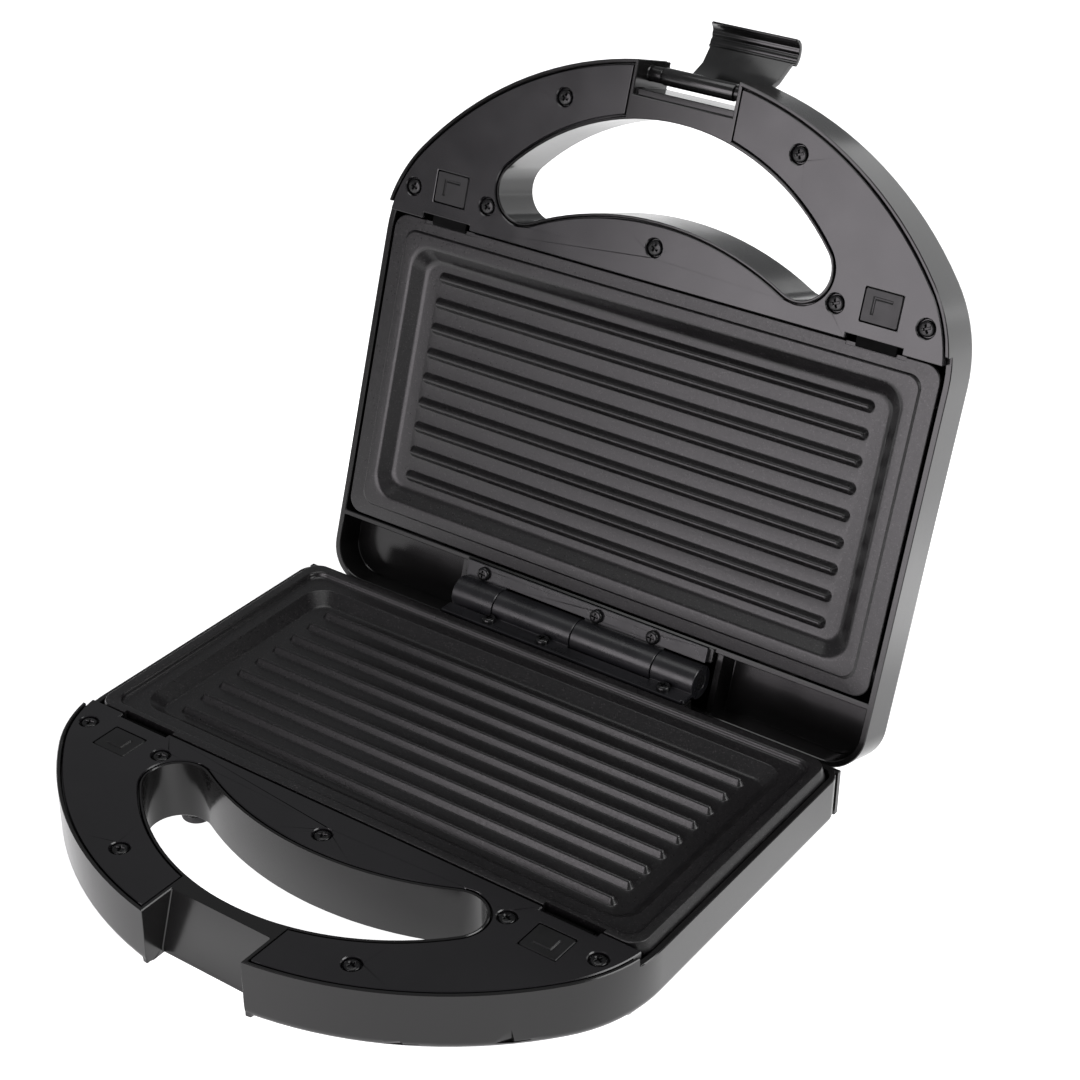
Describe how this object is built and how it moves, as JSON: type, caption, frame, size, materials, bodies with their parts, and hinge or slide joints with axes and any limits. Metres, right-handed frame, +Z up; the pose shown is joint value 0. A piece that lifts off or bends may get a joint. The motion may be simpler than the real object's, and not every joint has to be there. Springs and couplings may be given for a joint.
{
  "type": "panini press",
  "caption": "Clamshell contact grill with ribbed removable plates, a round-fronted carry handle, a rear hinge and a swing-over latch, shown open.",
  "frame": {"origin": "on the resting plane, under the middle of the open press's bounding box", "axes": "+X along the hinge line, -Y towards the carry handle, +Z up"},
  "size_m": [0.242, 0.3239, 0.2534],
  "materials": {
    "housing": "gloss black",
    "cover": "satin black",
    "plate": "charcoal non-stick coating",
    "hinge": "dark grey stamped steel, semi gloss",
    "screws": "black zinc",
    "steel": "bright",
    "rubber": "dark",
    "inner_plastic": "pale heat resistant moulding",
    "heater": "dark oxidised sheath",
    "reflector": "pressed sheet",
    "latch": "gloss black",
    "red_lens": "red",
    "green_lens": "green",
    "tongue": "satin black"
  },
  "bodies": {
    "base": {"base_housing": "housing", "base_pan": "housing", "base_cover": "cover", "base_cover_screws": "screws", "base_pan_screws": "screws", "front_feet": "rubber", "rear_feet": "rubber", "cord_gland": "rubber", "terminal_block": "inner_plastic", "lower_plate": "plate", "lower_element": "heater", "lower_element_clamps": "steel", "lower_reflector": "reflector", "lower_thermostat": "inner_plastic", "thermal_fuse": "inner_plastic", "base_hinge": "hinge", "base_hinge_screws": "screws", "hinge_pin": "steel", "base_spring_left": "steel", "base_spring_right": "steel"},
    "lid": {"lid_housing": "housing", "lid_dome": "housing", "lid_cover": "cover", "lid_cover_screws": "screws", "upper_plate": "plate", "upper_element": "heater", "upper_element_clamps": "steel", "upper_reflector": "reflector", "upper_thermostat": "inner_plastic", "lid_hinge": "hinge", "lid_hinge_screws": "screws", "power_lens": "red_lens", "ready_lens": "green_lens", "latch_rod": "steel", "lid_spring_left": "steel", "lid_spring_right": "steel"},
    "latch": {"latch_clip": "latch"},
    "base_button_left": {"base_button_left": "cover"},
    "base_tongue_left": {"base_tongue_left": "tongue"},
    "base_button_right": {"base_button_right": "cover"},
    "base_tongue_right": {"base_tongue_right": "tongue"},
    "lid_button_left": {"lid_button_left": "cover"},
    "lid_tongue_left": {"lid_tongue_left": "tongue"},
    "lid_button_right": {"lid_button_right": "cover"},
    "lid_tongue_right": {"lid_tongue_right": "tongue"}
  },
  "joints": [
    {"name": "lid_hinge", "type": "hinge", "parent": "base", "child": "lid", "pos_m": [0, 0.0512, 0.04734], "axis": [1, 0, 0], "range_deg": [0, 107]},
    {"name": "latch_pivot", "type": "hinge", "parent": "lid", "child": "latch", "pos_m": [0, 0.12325, 0.24313], "axis": [1, 0, 0], "range_deg": [0, 161]},
    {"name": "base_release_left", "type": "slide", "parent": "base", "child": "base_button_left", "axis": [0, 0, -1], "range_m": [0, 0.0025], "stiffness_N_per_m": 300, "springref_m": -0.004, "deforming": ["base_spring_left"]},
    {"name": "base_tongue_slide_left", "type": "slide", "parent": "base", "child": "base_tongue_left", "axis": [0, -1, 0], "range_m": [0, 0.0025]},
    {"name": "base_release_right", "type": "slide", "parent": "base", "child": "base_button_right", "axis": [0, 0, -1], "range_m": [0, 0.0025], "stiffness_N_per_m": 300, "springref_m": -0.004, "deforming": ["base_spring_right"]},
    {"name": "base_tongue_slide_right", "type": "slide", "parent": "base", "child": "base_tongue_right", "axis": [0, -1, 0], "range_m": [0, 0.0025]},
    {"name": "lid_release_left", "type": "slide", "parent": "lid", "child": "lid_button_left", "axis": [0, 0.9563, -0.2924], "range_m": [0, 0.0025], "stiffness_N_per_m": 300, "springref_m": -0.004, "deforming": ["lid_spring_left"]},
    {"name": "lid_tongue_slide_left", "type": "slide", "parent": "lid", "child": "lid_tongue_left", "axis": [0, 0.2924, 0.9563], "range_m": [0, 0.0025]},
    {"name": "lid_release_right", "type": "slide", "parent": "lid", "child": "lid_button_right", "axis": [0, 0.9563, -0.2924], "range_m": [0, 0.0025], "stiffness_N_per_m": 300, "springref_m": -0.004, "deforming": ["lid_spring_right"]},
    {"name": "lid_tongue_slide_right", "type": "slide", "parent": "lid", "child": "lid_tongue_right", "axis": [0, 0.2924, 0.9563], "range_m": [0, 0.0025]}
  ],
  "couplings": [
    {"joint": "base_tongue_slide_left", "follows": "base_release_left", "ratio": 1},
    {"joint": "base_tongue_slide_right", "follows": "base_release_right", "ratio": 1},
    {"joint": "lid_tongue_slide_left", "follows": "lid_release_left", "ratio": 1},
    {"joint": "lid_tongue_slide_right", "follows": "lid_release_right", "ratio": 1}
  ]
}
